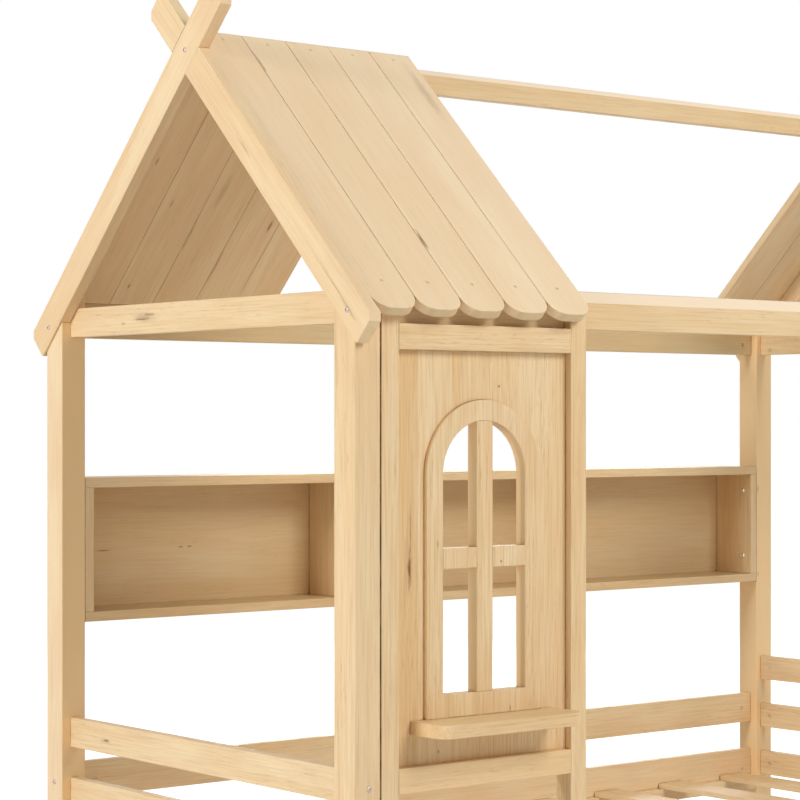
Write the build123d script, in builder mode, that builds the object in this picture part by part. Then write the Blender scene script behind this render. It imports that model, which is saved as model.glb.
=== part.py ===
from build123d import *
import math
import os

os.makedirs("parts", exist_ok=True)

# A house-shaped platform bed in planed pine, for a single mattress. Sizes are in millimetres.
# The origin is on the floor, midway between the four posts. +X runs along the bed, away from
# the window panel, +Y points to the side with the wall shelf and +Z points up.

# Frame over the posts
frame_length = 2050.0
frame_width = 1050.0
post_along = 53.0
post_across = 60.5
edge_ease = 1.2
cut_overrun = 5.0

# Roof: the planks lie on one plane per slope, and the two planes meet over the ridge beam
roof_slope_deg = 43.9
roof_peak = 1886.0
plank_thick = 18.0
plank_pitch = 100.0
plank_gap = 0.8
plank_ease = 1.2
eave_reach = 33.0
eave_corner = 38.0
left_plank_count = 5
right_plank_count = 2
ridge_thick = 22.0
ridge_bottom = 1837.5
top_beam_thick = 23.0
top_beam_bottom = 1349.5

# Gable rafters: each pair crosses over the ridge in a flush half lap
rafter_thick = 25.0
rafter_proud = 5.0
rafter_depth = 63.5
rafter_above_planks = 3.0
rafter_foot_length = 774.0
rafter_tip_length = 146.0
rafter_corner = 11.5
rafter_foot_round = 4.0
lap_gap = 0.2

# Gable tie beams and end rails, on one plane at each end
tie_beam_high = 57.5
end_rail_thick = 19.0
end_rail_high = 59.0
end_rail_top = 584.0
end_rail_pitch = 120.5
end_rail_count = 3

# Side rails, centred on the posts
side_rail_thick = 19.0
side_rail_top = 348.0
side_rail_high = 101.0
guard_rail_top = 489.5
guard_rail_high = 73.0

# Slatted base
ledger_thick = 20.0
ledger_high = 30.0
slat_thick = 12.0
slat_wide = 78.0
slat_pitch = 213.0
slat_count = 9
slat_end_gap = 2.0
last_slat_inset = 87.0

# Wall shelf between the rear posts
shelf_top = 1066.0
shelf_board = 20.0
shelf_clear_high = 251.5
shelf_clear_deep = 124.0
shelf_back_thick = 9.0
shelf_divider_count = 2
shelf_play = 0.8

# Window panel under the left front slope
panel_left_gap = 3.3
stile_wide = 37.5
stile_deep = 41.0
panel_clear_wide = 394.7
panel_top_rail_high = 45.0
panel_mid_rail_top = 582.5
panel_mid_rail_high = 44.0
panel_board_thick = 18.0
panel_board_set_back = 15.0
groove_deep = 8.0
groove_play = 0.4

# Arched window in the panel board, and its sill
casing_proud = 7.3
casing_radius = 131.0
casing_play = 0.2
window_ease = 0.6
opening_radius = 94.3
opening_bottom = 702.0
arch_centre_high = 1087.7
window_bar_wide = 36.5
cross_bar_centre = 940.0
bar_play = 0.15
sill_top = 661.0
sill_thick = 24.0
sill_wide = 323.0
sill_deep = 95.0
sill_corner = 25.0

# Bolts, barrel nuts and dowels
bolt_radius = 3.0
bolt_play = 0.3
bolt_head_radius = 5.3
bolt_head_high = 2.4
bolt_socket_wide = 4.0
bolt_socket_deep = 1.6
bolt_past_nut = 6.0
hexagon_sides = 6
dome_flat_share = 0.55
dome_mid_share = 0.84
dome_mid_high_share = 0.68
nut_radius = 5.0
nut_long = 14.0
nut_play = 0.15
nut_inset = 33.0
nut_slot_wide = 1.2
nut_slot_deep = 1.5
dowel_radius = 4.0
dowel_long = 30.0
dowel_play = 0.1
dowel_bottom_play = 0.5
end_dowel_spread = 18.0
guard_dowel_spread = 24.0
side_dowel_spread = 34.0
top_beam_bolt_up = 24.0
top_beam_dowel_up = 11.0
tie_beam_bolt_up = 11.5
tie_beam_dowel_up = 37.0
rafter_bolt_long = 55.0
foot_bolt_from_face = 16.0
foot_bolt_high = 1370.0
shelf_bolt_long = 65.0
shelf_bolt_head_radius = 7.0
shelf_bolt_socket_wide = 5.5
shelf_bolt_down = 41.5
shelf_bolt_up = 44.5

# Wood screws
screw_radius = 2.0
screw_play = 0.15
screw_head_radius = 4.0
screw_head_high = 2.6
screw_point = 5.0
screw_recess_wide = 1.2
screw_recess_deep = 1.2
short_screw_long = 32.0
long_screw_long = 40.0
ridge_screw_from_ridge = 2.5
rear_screw_shift = 14.0
rail_lap_screw_up = 30.0
rail_lap_screw_down = 12.5
beam_lap_screw_up = 30.5
sill_screw_spread = 120.0
shelf_screw_inset = 28.0
back_screw_pitch = 310.0
back_screw_count = 6

# Places that follow from the sizes
half_length = frame_length / 2
half_width = frame_width / 2
inner_x = half_length - post_along
inner_y = half_width - post_across
rail_y = half_width - post_across / 2
slope = math.radians(roof_slope_deg)
rise = math.tan(slope)
rafter_outer_x = half_length + rafter_proud
rafter_inner_x = rafter_outer_x - rafter_thick
crossing_high = roof_peak + (plank_thick + rafter_above_planks - rafter_depth / 2) / math.cos(slope)
rafter_underside = crossing_high - rafter_depth / 2 / math.cos(slope)
plank_run = (half_width + eave_reach - plank_thick * math.sin(slope)) / math.cos(slope)
end_rail_x = rafter_inner_x - end_rail_thick / 2
side_rail_bottom = side_rail_top - side_rail_high
rail_face_y = rail_y - side_rail_thick / 2
ledger_top = side_rail_bottom + ledger_high
ledger_y = rail_face_y - ledger_thick / 2
slat_top = ledger_top + slat_thick
shelf_floor = shelf_top - shelf_board - shelf_clear_high
shelf_bottom = shelf_floor - shelf_board
shelf_back_y = inner_y + shelf_clear_deep
shelf_half_long = inner_x - shelf_play
left_stile_x = -inner_x + panel_left_gap + stile_wide / 2
right_stile_x = left_stile_x + stile_wide + panel_clear_wide
window_x = (left_stile_x + right_stile_x) / 2
board_front_y = -half_width + panel_board_set_back
board_back_y = board_front_y + panel_board_thick
casing_front_y = board_front_y - casing_proud

end_rail_centres = [
    end_rail_top - end_rail_high / 2 - index * end_rail_pitch for index in range(end_rail_count)
]
slat_xs = [
    half_length - last_slat_inset - slat_wide / 2 - index * slat_pitch for index in range(slat_count)
]
ledger_screw_xs = [x - slat_pitch / 2 for x in slat_xs[:-1]]
left_plank_xs = [
    -rafter_inner_x + (index + 0.5) * plank_pitch for index in range(left_plank_count)
]
right_plank_xs = [
    rafter_inner_x - (index + 0.5) * plank_pitch for index in range(right_plank_count)
]
divider_pitch = (2 * shelf_half_long - shelf_board) / (shelf_divider_count + 1)
upright_xs = [
    -shelf_half_long + shelf_board / 2 + index * divider_pitch
    for index in range(shelf_divider_count + 2)
]
shelf_bolt_heights = (shelf_top - shelf_board - shelf_bolt_down, shelf_floor + shelf_bolt_up)

ends = {"left": -1, "right": 1}
sides = {"front": -1, "rear": 1}
side_rails = {
    "rear_guard_rail": (1, guard_rail_top, guard_rail_high, guard_dowel_spread),
    "rear_side_rail": (1, side_rail_top, side_rail_high, side_dowel_spread),
    "front_side_rail": (-1, side_rail_top, side_rail_high, side_dowel_spread),
}
rail_joints = [
    (centre, (centre - end_dowel_spread, centre + end_dowel_spread)) for centre in end_rail_centres
]
tie_joint = (top_beam_bottom + tie_beam_bolt_up, (top_beam_bottom + tie_beam_dowel_up,))
end_joints = rail_joints + [tie_joint]


def roof_high(across, peak=roof_peak):
    """Height of a roof plane at a distance from the middle of the bed."""
    return peak - rise * abs(across)


def slope_normal(side):
    """Direction out of the roof, square to one slope."""
    return Vector(0, side * math.sin(slope), math.cos(slope))


def keep(builder, node):
    """Name a finished piece and write its file."""
    builder.part.label = node
    export_step(builder.part, os.path.join("parts", node + ".step"))


def span(start, length):
    """Limits from a start and a length of either sign, the low one first."""
    return sorted((start, start + length))


def about(centre, length):
    """Limits on both sides of a centre."""
    return (centre - length / 2, centre + length / 2)


def board(x_limits, y_limits, z_limits, grain, ease=edge_ease):
    """Add a planed board to the piece in hand, with its edges eased along the grain."""
    limits = (x_limits, y_limits, z_limits)
    with Locations(tuple((low + high) / 2 for low, high in limits)):
        Box(*(high - low for low, high in limits))
    fillet(edges(Select.LAST).filter_by(grain), radius=ease)


def cut_box(x_limits, y_limits, z_limits):
    """Cut a square-cornered space out of the piece in hand."""
    limits = (x_limits, y_limits, z_limits)
    with Locations(tuple((low + high) / 2 for low, high in limits)):
        Box(*(high - low for low, high in limits), mode=Mode.SUBTRACT)


def cut_above_slope(peak, side, x_limits):
    """Cut away what lies above a roof plane on one side of the bed."""
    reach = half_width + cut_overrun
    with BuildSketch(Plane.YZ.offset(x_limits[0])) as above:
        with BuildLine():
            Polyline(
                (0, peak),
                (side * reach, roof_high(reach, peak)),
                (side * reach, peak + cut_overrun),
                (0, peak + cut_overrun),
                (0, peak),
            )
        make_face()
    extrude(above.sketch, amount=x_limits[1] - x_limits[0], mode=Mode.SUBTRACT)


def drill(place, radius, depth):
    """Cut a round hole into the piece in hand, along the normal of a plane."""
    with Locations(place):
        Cylinder(radius, depth, align=(Align.CENTER, Align.CENTER, Align.MIN), mode=Mode.SUBTRACT)


def pilot(place, length):
    """Cut the hole of a wood screw."""
    drill(place, screw_radius + screw_play, length + screw_play)


def screw_seat(place, length):
    """Cut the hole and the countersink of a wood screw, from the face that holds its head."""
    pilot(place, length)
    with Locations(place):
        Cone(
            screw_head_radius + screw_play,
            screw_radius + screw_play,
            screw_head_high,
            align=(Align.CENTER, Align.CENTER, Align.MIN),
            mode=Mode.SUBTRACT,
        )


# Where the fasteners go: each place is a plane with its normal along the fastener, into the wood

def side_bolt(end, side, height):
    """Place of a bolt through a post into the end of a side rail."""
    return Plane(origin=(end * half_length, side * rail_y, height), z_dir=(-end, 0, 0))


def top_beam_bolt(end, side):
    """Place of a bolt through a post into a top beam, its head sunk under the rafter."""
    x = end * (rafter_inner_x - bolt_head_high - bolt_play)
    return Plane(origin=(x, side * rail_y, top_beam_bottom + top_beam_bolt_up), z_dir=(-end, 0, 0))


def end_bolt(end, side, height):
    """Place of a bolt through a post into an end rail or a tie beam."""
    return Plane(origin=(end * end_rail_x, side * half_width, height), z_dir=(0, -side, 0))


def side_nut(end, side, height):
    """Place of a barrel nut in a side rail or a top beam."""
    origin = (end * (inner_x - nut_inset), side * rail_face_y, height)
    return Plane(origin=origin, x_dir=(1, 0, 0), z_dir=(0, side, 0))


def end_nut(end, side, height):
    """Place of a barrel nut in an end rail or a tie beam."""
    origin = (end * (end_rail_x - end_rail_thick / 2), side * (inner_y - nut_inset), height)
    return Plane(origin=origin, x_dir=(0, 1, 0), z_dir=(end, 0, 0))


def side_dowel(end, side, height):
    """Middle of a dowel between a post and a side rail or top beam."""
    return Plane(origin=(end * inner_x, side * rail_y, height), z_dir=(end, 0, 0))


def end_dowel(end, side, height):
    """Middle of a dowel between a post and an end rail or tie beam."""
    return Plane(origin=(end * end_rail_x, side * inner_y, height), z_dir=(0, side, 0))


def crossing_bolt(end):
    """Place of the bolt through a pair of rafters into the ridge beam."""
    return Plane(origin=(end * rafter_outer_x, 0, crossing_high), z_dir=(-end, 0, 0))


def foot_bolt(end, side):
    """Place of the bolt through the foot of a rafter into its post."""
    y = side * (half_width - foot_bolt_from_face)
    return Plane(origin=(end * rafter_outer_x, y, foot_bolt_high), z_dir=(-end, 0, 0))


def roof_screw(side, x, across):
    """Place of a screw square through a plank, which leaves it at a distance from the middle."""
    normal = slope_normal(side)
    start = Vector(x, side * across, roof_high(across)) + normal * plank_thick
    return Plane(origin=start, x_dir=(1, 0, 0), z_dir=-normal)


def beam_screw(side, x):
    """Place of the screw that holds a plank to its top beam."""
    return roof_screw(side, x, rail_y)


def ridge_screw(side, x):
    """Place of the screw that holds a plank to the ridge beam, clear of the one opposite."""
    shift = rear_screw_shift if side > 0 else 0
    return roof_screw(side, x + shift, ridge_screw_from_ridge)


def ledger_screw(side, x):
    """Place of a screw through a ledger into its side rail."""
    y = side * (rail_face_y - ledger_thick)
    return Plane(origin=(x, y, ledger_top - ledger_high / 2), z_dir=(0, side, 0))


def slat_screw(side, x):
    """Place of a screw down through a slat into its ledger."""
    return Plane(origin=(x, side * ledger_y, slat_top), x_dir=(1, 0, 0), z_dir=(0, 0, -1))


def rail_lap_screws(x):
    """Places of the screws through the front side rail into the foot of a panel stile."""
    centre = side_rail_top - side_rail_high / 2
    heights = (centre + rail_lap_screw_up, centre - rail_lap_screw_down)
    return [Plane(origin=(x, -rail_face_y, height), z_dir=(0, -1, 0)) for height in heights]


def beam_lap_screw(x):
    """Place of the screw through the front top beam into the head of a panel stile."""
    y = -(rail_y - top_beam_thick / 2)
    return Plane(origin=(x, y, top_beam_bottom + beam_lap_screw_up), z_dir=(0, -1, 0))


def sill_screws():
    """Places of the screws through the panel board into the sill."""
    xs = (window_x - sill_screw_spread, window_x, window_x + sill_screw_spread)
    height = sill_top - sill_thick / 2
    return [Plane(origin=(x, board_back_y, height), z_dir=(0, -1, 0)) for x in xs]


def shelf_bolt(end, height):
    """Place of a bolt through an end board of the shelf into its post."""
    x = end * (shelf_half_long - shelf_board)
    return Plane(origin=(x, rail_y, height), z_dir=(end, 0, 0))


def upright_screws(x, from_top):
    """Places of the screws through a long shelf board into the end of one upright."""
    height = shelf_top if from_top else shelf_bottom
    direction = (0, 0, -1) if from_top else (0, 0, 1)
    ys = (inner_y + shelf_screw_inset, shelf_back_y - shelf_screw_inset)
    return [Plane(origin=(x, y, height), z_dir=direction) for y in ys]


def back_screws(from_top):
    """Places of the screws through the shelf's back into the rear edge of a long board."""
    height = shelf_top - shelf_board / 2 if from_top else shelf_bottom + shelf_board / 2
    first = -back_screw_pitch * (back_screw_count - 1) / 2
    xs = [first + index * back_screw_pitch for index in range(back_screw_count)]
    y = shelf_back_y + shelf_back_thick
    return [Plane(origin=(x, y, height), z_dir=(0, -1, 0)) for x in xs]


# Posts

def bolt_hole(place, depth):
    """Cut a bolt's hole, with room for its thread."""
    drill(place, bolt_radius + bolt_play, depth)


def nut_hole(place):
    """Cut a barrel nut's hole, open on the inner face of its rail or beam."""
    drill(place.offset(-cut_overrun), nut_radius + nut_play, cut_overrun + nut_long + nut_play)


def dowel_hole(place):
    """Cut a dowel's hole on both sides of the joint."""
    with Locations(place):
        Cylinder(
            dowel_radius + dowel_play, dowel_long + 2 * dowel_bottom_play, mode=Mode.SUBTRACT
        )


def post(node, end, side):
    """A corner post, cut to the roof plane and rebated on its outer face for the rafter."""
    with BuildPart() as piece:
        x_limits = span(end * half_length, -end * post_along)
        board(x_limits, span(side * half_width, -side * post_across), (0, roof_high(inner_y)), Axis.Z)
        cut_above_slope(roof_peak, side, x_limits)
        rebate = half_length - rafter_inner_x + cut_overrun
        cut_above_slope(rafter_underside, side, span(end * rafter_inner_x, end * rebate))
        for rail_side, top, high, spread in side_rails.values():
            if rail_side == side:
                centre = top - high / 2
                bolt_hole(side_bolt(end, side, centre), post_along + cut_overrun)
                dowel_hole(side_dowel(end, side, centre - spread))
                dowel_hole(side_dowel(end, side, centre + spread))
        for bolt_high, dowel_heights in end_joints:
            bolt_hole(end_bolt(end, side, bolt_high), post_across + cut_overrun)
            for height in dowel_heights:
                dowel_hole(end_dowel(end, side, height))
        bolt_hole(top_beam_bolt(end, side), post_along)
        with Locations(top_beam_bolt(end, side)):
            Cylinder(
                bolt_head_radius + bolt_play,
                bolt_head_high + bolt_play,
                align=(Align.CENTER, Align.CENTER, Align.MAX),
                mode=Mode.SUBTRACT,
            )
        dowel_hole(side_dowel(end, side, top_beam_bottom + top_beam_dowel_up))
        bolt_hole(foot_bolt(end, side), rafter_bolt_long + bolt_play)
        if side > 0:
            for height in shelf_bolt_heights:
                bolt_hole(shelf_bolt(end, height), shelf_bolt_long + bolt_play)
    keep(piece, node)


# Roof frame

def rafter(node, end, side):
    """A gable rafter with its foot on one side, half lapped with the rafter that it crosses."""
    run = (0, side * math.cos(slope), -math.sin(slope))
    crossed_run = (0, side * math.cos(slope), math.sin(slope))
    outer = Plane(origin=(end * rafter_outer_x, 0, crossing_high), x_dir=run, z_dir=(-end, 0, 0))
    crossed = Plane(origin=outer.origin, x_dir=crossed_run, z_dir=outer.z_dir)
    lower_foot_corner = (rafter_foot_length, end * side * rafter_depth / 2)
    lap_start = rafter_thick / 2 if side > 0 else 0
    with BuildPart() as piece:
        with BuildSketch(outer):
            with Locations(((rafter_foot_length - rafter_tip_length) / 2, 0)):
                Rectangle(rafter_foot_length + rafter_tip_length, rafter_depth)
            chamfer(vertices().sort_by_distance(lower_foot_corner)[1:], length=rafter_corner)
            fillet(vertices().sort_by_distance(lower_foot_corner)[0], radius=rafter_foot_round)
        extrude(amount=rafter_thick)
        fillet(piece.edges().filter_by(Axis.X, reverse=True), radius=edge_ease)
        with BuildSketch(crossed.offset(lap_start)):
            Rectangle(rafter_tip_length + rafter_depth, rafter_depth + 2 * lap_gap)
        extrude(amount=rafter_thick / 2, mode=Mode.SUBTRACT)
        bolt_hole(crossing_bolt(end), rafter_bolt_long)
        bolt_hole(foot_bolt(end, side), rafter_bolt_long)
    keep(piece, node)


def ridge_beam():
    """The ridge beam between the two gables, bevelled on top to both slopes."""
    shoulder = roof_high(ridge_thick / 2)
    with BuildPart() as piece:
        with BuildSketch(Plane.YZ.offset(-rafter_inner_x)):
            with BuildLine():
                Polyline(
                    (-ridge_thick / 2, ridge_bottom),
                    (ridge_thick / 2, ridge_bottom),
                    (ridge_thick / 2, shoulder),
                    (0, roof_peak),
                    (-ridge_thick / 2, shoulder),
                    (-ridge_thick / 2, ridge_bottom),
                )
            make_face()
        extrude(amount=2 * rafter_inner_x)
        fillet(piece.edges().filter_by(Axis.X).group_by(Axis.Z)[0], radius=edge_ease)
        for end in ends.values():
            bolt_hole(crossing_bolt(end), rafter_bolt_long + bolt_play)
        for side in sides.values():
            for x in left_plank_xs + right_plank_xs:
                pilot(ridge_screw(side, x), short_screw_long)
    keep(piece, "ridge_beam")


def top_beam(node, side):
    """The long beam under the eaves, bevelled on top to its slope."""
    y_limits = span(side * (rail_y - top_beam_thick / 2), side * top_beam_thick)
    with BuildPart() as piece:
        board((-inner_x, inner_x), y_limits, (top_beam_bottom, roof_high(inner_y)), Axis.X)
        cut_above_slope(roof_peak, side, (-half_length, half_length))
        for end in ends.values():
            bolt_hole(top_beam_bolt(end, side), top_beam_shank + bolt_play)
            nut_hole(side_nut(end, side, top_beam_bottom + top_beam_bolt_up))
            dowel_hole(side_dowel(end, side, top_beam_bottom + top_beam_dowel_up))
        for x in left_plank_xs + right_plank_xs:
            pilot(beam_screw(side, x), short_screw_long)
        if side < 0:
            screw_seat(beam_lap_screw(left_stile_x), short_screw_long)
            screw_seat(beam_lap_screw(right_stile_x), short_screw_long)
    keep(piece, node)


def plank(node, side, x):
    """A roof plank: cut plumb at the ridge, with two rounded corners at the eave."""
    normal = slope_normal(side)
    under = Plane(origin=(x, 0, roof_peak), x_dir=(1, 0, 0), z_dir=normal)
    ridge_extra = plank_thick * rise
    length = plank_run + ridge_extra
    with BuildPart() as piece:
        with BuildSketch(under) as outline:
            with Locations((0, side * (plank_run - ridge_extra) / 2)):
                Rectangle(plank_pitch - plank_gap, length)
            eave_corners = outline.vertices().group_by(Axis.Y)[0 if side < 0 else -1]
            fillet(eave_corners, radius=eave_corner)
        extrude(amount=plank_thick)
        top_face = piece.faces().sort_by(Axis((0, 0, 0), normal))[-1]
        fillet(top_face.edges(), radius=plank_ease)
        cut_box(
            about(x, 2 * plank_pitch),
            span(side * plank_gap / 2, -side * plank_pitch),
            (ridge_bottom, roof_peak + plank_pitch),
        )
        screw_seat(beam_screw(side, x), short_screw_long)
        screw_seat(ridge_screw(side, x), short_screw_long)
    keep(piece, node)


# Rails

def end_member(node, end, z_limits, joint):
    """An end rail or a tie beam between the two posts of one end."""
    bolt_high, dowel_heights = joint
    with BuildPart() as piece:
        board(about(end * end_rail_x, end_rail_thick), (-inner_y, inner_y), z_limits, Axis.Y)
        for side in sides.values():
            bolt_hole(end_bolt(end, side, bolt_high), end_shank + bolt_play)
            nut_hole(end_nut(end, side, bolt_high))
            for height in dowel_heights:
                dowel_hole(end_dowel(end, side, height))
    keep(piece, node)


def side_rail(node, side, top, high, spread):
    """A long rail between the two posts of one side."""
    centre = top - high / 2
    with BuildPart() as piece:
        board((-inner_x, inner_x), about(side * rail_y, side_rail_thick), (top - high, top), Axis.X)
        for end in ends.values():
            bolt_hole(side_bolt(end, side, centre), side_shank + bolt_play)
            nut_hole(side_nut(end, side, centre))
            dowel_hole(side_dowel(end, side, centre - spread))
            dowel_hole(side_dowel(end, side, centre + spread))
        if top == side_rail_top:
            for x in ledger_screw_xs:
                pilot(ledger_screw(side, x), short_screw_long)
        if top == side_rail_top and side < 0:
            for place in rail_lap_screws(left_stile_x) + rail_lap_screws(right_stile_x):
                screw_seat(place, short_screw_long)
    keep(piece, node)


# Slatted base

def ledgers():
    """The two ledgers on the inner faces of the side rails."""
    with BuildPart() as pieces:
        for side in sides.values():
            board(
                (-inner_x, inner_x),
                about(side * ledger_y, ledger_thick),
                (ledger_top - ledger_high, ledger_top),
                Axis.X,
            )
        for side in sides.values():
            for x in ledger_screw_xs:
                screw_seat(ledger_screw(side, x), short_screw_long)
            for x in slat_xs:
                pilot(slat_screw(side, x), short_screw_long)
    keep(pieces, "slat_ledgers")


def slats():
    """The slats across the bed, screwed down to the ledgers."""
    reach = rail_face_y - slat_end_gap
    with BuildPart() as pieces:
        for x in slat_xs:
            board(about(x, slat_wide), (-reach, reach), (ledger_top, slat_top), Axis.Y)
        for side in sides.values():
            for x in slat_xs:
                screw_seat(slat_screw(side, x), short_screw_long)
    keep(pieces, "deck_slats")


# Wall shelf

def shelf_long_board(node, low, from_top):
    """The top or the bottom board of the wall shelf."""
    with BuildPart() as piece:
        x_limits = (-shelf_half_long, shelf_half_long)
        board(x_limits, (inner_y, shelf_back_y), (low, low + shelf_board), Axis.X)
        for x in upright_xs:
            for place in upright_screws(x, from_top):
                screw_seat(place, long_screw_long)
        for place in back_screws(from_top):
            pilot(place, long_screw_long)
    keep(piece, node)


def shelf_upright(x):
    """Add an upright board of the wall shelf to the piece in hand."""
    board(
        about(x, shelf_board),
        (inner_y, shelf_back_y),
        (shelf_floor, shelf_floor + shelf_clear_high),
        Axis.Z,
    )
    for place in upright_screws(x, True) + upright_screws(x, False):
        pilot(place, long_screw_long)


def shelf_end(node, end):
    """An end board of the wall shelf, bolted to its post."""
    with BuildPart() as piece:
        shelf_upright(end * upright_xs[-1])
        for height in shelf_bolt_heights:
            bolt_hole(shelf_bolt(end, height), shelf_board + cut_overrun)
    keep(piece, node)


def shelf_dividers():
    """The dividers between the bays of the wall shelf."""
    with BuildPart() as pieces:
        for x in upright_xs[1:-1]:
            shelf_upright(x)
    keep(pieces, "shelf_dividers")


def shelf_back():
    """The thin back of the wall shelf, screwed over the rear edges of its boards."""
    with BuildPart() as piece:
        x_limits = (-shelf_half_long, shelf_half_long)
        board(x_limits, span(shelf_back_y, shelf_back_thick), (shelf_bottom, shelf_top), Axis.X)
        for place in back_screws(True) + back_screws(False):
            screw_seat(place, long_screw_long)
    keep(piece, "shelf_back")


# Window panel

def panel_groove(x_limits, z_limits):
    """Cut the groove that holds the panel board."""
    cut_box(x_limits, (board_front_y - groove_play, board_back_y + groove_play), z_limits)


def stile(node, x, inward):
    """An upright of the window panel, lapped over the top beam and over the side rail."""
    x_limits = about(x, stile_wide)
    back_y = -half_width + stile_deep
    with BuildPart() as piece:
        board(x_limits, (-half_width, back_y), (side_rail_bottom, roof_high(inner_y)), Axis.Z)
        cut_above_slope(roof_peak, -1, x_limits)
        cut_box(
            x_limits,
            (-(rail_y + top_beam_thick / 2), back_y),
            (top_beam_bottom, roof_high(inner_y) + cut_overrun),
        )
        cut_box(
            x_limits,
            (-(rail_y + side_rail_thick / 2), back_y),
            (side_rail_bottom - cut_overrun, side_rail_top),
        )
        panel_groove(
            span(x + inward * stile_wide / 2, -inward * groove_deep),
            (panel_mid_rail_top - panel_mid_rail_high, top_beam_bottom),
        )
        for place in rail_lap_screws(x):
            pilot(place, short_screw_long)
        pilot(beam_lap_screw(x), short_screw_long)
    keep(piece, node)


def panel_rail(node, z_limits, tenon_limits, groove_limits):
    """A cross rail of the window panel, with a stub tenon at each end."""
    with BuildPart() as piece:
        board(
            about(window_x, panel_clear_wide), span(-half_width, stile_deep), z_limits, Axis.X
        )
        with Locations((window_x, (board_front_y + board_back_y) / 2, sum(tenon_limits) / 2)):
            Box(
                panel_clear_wide + 2 * (groove_deep - groove_play),
                panel_board_thick,
                tenon_limits[1] - tenon_limits[0],
            )
        panel_groove(about(window_x, panel_clear_wide), groove_limits)
    keep(piece, node)


def arch_outline(plane, radius, bottom):
    """A face with a flat foot, straight sides and a half-round head."""
    with BuildSketch(plane) as outline:
        with BuildLine():
            Polyline(
                (-radius, arch_centre_high),
                (-radius, bottom),
                (radius, bottom),
                (radius, arch_centre_high),
            )
            ThreePointArc(
                (radius, arch_centre_high),
                (0, arch_centre_high + radius),
                (-radius, arch_centre_high),
            )
        make_face()
    return outline.sketch


def window_plane(y):
    """Upright plane across the window, its normal to the front."""
    return Plane(origin=(window_x, y, 0), x_dir=(1, 0, 0), z_dir=(0, -1, 0))


def panel_board():
    """The board of the window panel, with the cut-out for the casing."""
    top = top_beam_bottom - panel_top_rail_high
    reach = groove_deep - groove_play
    with BuildPart() as piece:
        board(
            about(window_x, panel_clear_wide + 2 * reach),
            (board_front_y, board_back_y),
            (panel_mid_rail_top - reach, top + reach),
            Axis.Z,
        )
        cut_out = arch_outline(
            window_plane(board_back_y), casing_radius + casing_play, sill_top - casing_play
        )
        extrude(cut_out, amount=panel_board_thick, mode=Mode.SUBTRACT)
        for place in sill_screws():
            screw_seat(place, short_screw_long)
    keep(piece, "panel_board")


def window_casing():
    """The arched casing, set through the board and standing proud of it."""
    depth = casing_proud + panel_board_thick
    with BuildPart() as piece:
        extrude(arch_outline(window_plane(board_back_y), casing_radius, sill_top), amount=depth)
        extrude(
            arch_outline(window_plane(board_back_y), opening_radius, opening_bottom),
            amount=depth,
            mode=Mode.SUBTRACT,
        )
        fillet(piece.faces().sort_by(Axis.Y)[0].edges(), radius=window_ease)
    keep(piece, "window_casing")


def window_bar(node, x_limits, z_limits, grain, lap_limits):
    """A bar of the window, fitted in the opening and half lapped where the bars cross."""
    depth = casing_proud + panel_board_thick
    with BuildPart() as piece:
        board(x_limits, (casing_front_y, board_back_y), z_limits, grain, window_ease)
        fit = arch_outline(
            window_plane(board_back_y), opening_radius - bar_play, opening_bottom + bar_play
        )
        extrude(fit, amount=depth, mode=Mode.INTERSECT)
        cut_box(*lap_limits)
    keep(piece, node)


def window_bars():
    """The upright bar and the cross bar of the window."""
    middle_y = (casing_front_y + board_back_y) / 2
    upright_limits = about(window_x, window_bar_wide)
    cross_limits = about(cross_bar_centre, window_bar_wide)
    lap_wide = window_bar_wide + 2 * lap_gap
    opening_limits = (opening_bottom, arch_centre_high + opening_radius)
    window_bar(
        "window_upright_bar",
        upright_limits,
        opening_limits,
        Axis.Z,
        (upright_limits, (middle_y, board_back_y), about(cross_bar_centre, lap_wide)),
    )
    window_bar(
        "window_cross_bar",
        about(window_x, 2 * opening_radius),
        cross_limits,
        Axis.X,
        (about(window_x, lap_wide), (casing_front_y, middle_y), cross_limits),
    )


def window_sill():
    """The sill under the window, with rounded front corners."""
    with BuildPart() as piece:
        with BuildSketch(Plane.XY.offset(sill_top - sill_thick)) as outline:
            with Locations((window_x, board_front_y - sill_deep / 2)):
                Rectangle(sill_wide, sill_deep)
            fillet(outline.vertices().group_by(Axis.Y)[0], radius=sill_corner)
        extrude(amount=sill_thick)
        rim = piece.edges().filter_by(Axis.Z, reverse=True).group_by(Axis.Y)[:-1]
        fillet([edge for batch in rim for edge in batch], radius=edge_ease)
        for place in sill_screws():
            pilot(place, short_screw_long)
    keep(piece, "window_sill")


# Fasteners

def button_bolt(shank, head_radius=bolt_head_radius, socket_wide=bolt_socket_wide):
    """A button-head bolt along +Z, with its head below the origin and its shank above."""
    flat = head_radius * dome_flat_share
    shoulder = (head_radius * dome_mid_share, -bolt_head_high * dome_mid_high_share)
    with BuildPart() as bolt:
        with BuildSketch(Plane.XZ):
            with BuildLine():
                Line((0, -bolt_head_high), (flat, -bolt_head_high))
                ThreePointArc((flat, -bolt_head_high), shoulder, (head_radius, 0))
                Polyline(
                    (head_radius, 0),
                    (bolt_radius, 0),
                    (bolt_radius, shank),
                    (0, shank),
                    (0, -bolt_head_high),
                )
            make_face()
        revolve(axis=Axis.Z)
        with BuildSketch(Plane.XY.offset(-bolt_head_high)):
            RegularPolygon(socket_wide / 2, hexagon_sides, major_radius=False)
        extrude(amount=bolt_socket_deep, mode=Mode.SUBTRACT)
    return bolt


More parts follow.
